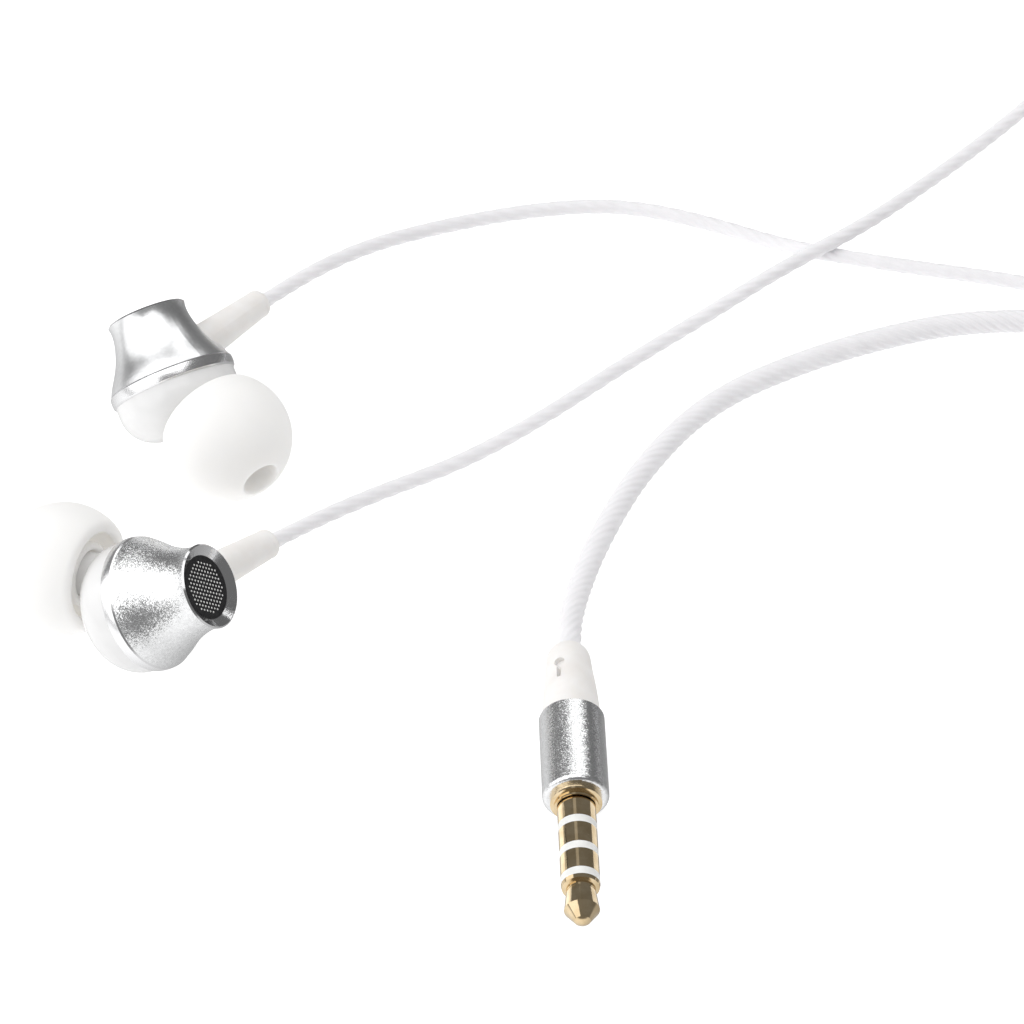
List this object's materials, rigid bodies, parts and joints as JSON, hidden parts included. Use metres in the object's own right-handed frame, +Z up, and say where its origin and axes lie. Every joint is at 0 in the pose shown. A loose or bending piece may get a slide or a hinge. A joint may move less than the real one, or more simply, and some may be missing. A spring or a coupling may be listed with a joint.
{
  "type": "wired earphones",
  "caption": "In-ear wired earphones: aluminium bell housings, ball-shaped tips, Y cord with in-line remote and four-pole 3.5 mm plug.",
  "frame": {"origin": "on the surface that the earphones lie on, under the middle of the pair of earpieces", "axes": "+Z up, +Y from the right earpiece towards the left one, +X towards the cords"},
  "size_m": [0.1545, 0.1439, 0.014],
  "materials": {
    "satin_aluminium": "sand-blasted satin",
    "polished_aluminium": "polished",
    "black_grille": "satin black",
    "white_plastic": "gloss",
    "steel_mesh": "fine mesh",
    "white_silicone": "smooth translucent",
    "white_rubber": "matt",
    "steel": "satin",
    "black_plastic": "matt",
    "magnet": "nickel plated",
    "copper": "enamelled wire",
    "clear_film": "thin film",
    "circuit_board": "solder mask",
    "gold": "gold plated, polished",
    "white_insulator": "matt",
    "white_cord": "ribbed, matt"
  },
  "bodies": {
    "earphones": {"left_boot": "white_rubber", "left_cord_coil": "white_cord", "left_cord_lower": "white_cord", "left_cord_stop": "steel", "left_cord_upper": "white_cord", "left_driver_board": "circuit_board", "left_driver_cap": "steel", "left_driver_frame": "black_plastic", "left_driver_magnet": "magnet", "left_driver_pole_plate": "steel", "left_driver_yoke": "steel", "left_front_shell": "white_plastic", "left_grille": "black_grille", "left_housing": "satin_aluminium", "left_nozzle_mesh": "steel_mesh", "left_trim_ring": "polished_aluminium", "main_cord_coil": "white_cord", "main_cord_lower": "white_cord", "main_cord_upper": "white_cord", "plug_barrel": "satin_aluminium", "plug_boot": "white_rubber", "plug_collar": "gold", "plug_insulators": "white_insulator", "plug_ring_back": "gold", "plug_ring_front": "gold", "plug_sleeve": "gold", "plug_tip": "gold", "remote_board": "circuit_board", "remote_bottom": "white_plastic", "remote_microphone": "steel", "remote_switch": "steel", "remote_top": "white_plastic", "right_boot": "white_rubber", "right_cord_coil": "white_cord", "right_cord_lower": "white_cord", "right_cord_middle": "white_cord", "right_cord_stop": "steel", "right_cord_upper": "white_cord", "right_driver_board": "circuit_board", "right_driver_cap": "steel", "right_driver_frame": "black_plastic", "right_driver_magnet": "magnet", "right_driver_pole_plate": "steel", "right_driver_yoke": "steel", "right_front_shell": "white_plastic", "right_grille": "black_grille", "right_housing": "satin_aluminium", "right_nozzle_mesh": "steel_mesh", "right_trim_ring": "polished_aluminium", "splitter_board": "circuit_board", "splitter_bottom": "white_plastic", "splitter_top": "white_plastic"},
    "right_tip": {"right_ear_tip": "white_silicone"},
    "left_tip": {"left_ear_tip": "white_silicone"},
    "button": {"remote_button": "white_plastic"},
    "right_cone": {"right_driver_diaphragm": "clear_film", "right_driver_voice_coil": "copper"},
    "left_cone": {"left_driver_diaphragm": "clear_film", "left_driver_voice_coil": "copper"}
  },
  "joints": [
    {"name": "right_tip_pull_off", "type": "slide", "parent": "earphones", "child": "right_tip", "axis": [-0.8936, 0.4241, -0.1468], "range_m": [0, 0.005]},
    {"name": "left_tip_pull_off", "type": "slide", "parent": "earphones", "child": "left_tip", "axis": [0.5734, -0.7996, -0.1783], "range_m": [0, 0.005]},
    {"name": "remote_button_press", "type": "slide", "parent": "earphones", "child": "button", "axis": [0, 0, -1], "range_m": [0, 0.00035], "stiffness_N_per_m": 1500},
    {"name": "right_diaphragm_stroke", "type": "slide", "parent": "earphones", "child": "right_cone", "axis": [-0.8178, 0.2024, -0.5388], "range_m": [-0.00015, 0.00015], "stiffness_N_per_m": 200},
    {"name": "left_diaphragm_stroke", "type": "slide", "parent": "earphones", "child": "left_cone", "axis": [0.3709, -0.7247, -0.5807], "range_m": [-0.00015, 0.00015], "stiffness_N_per_m": 200}
  ]
}
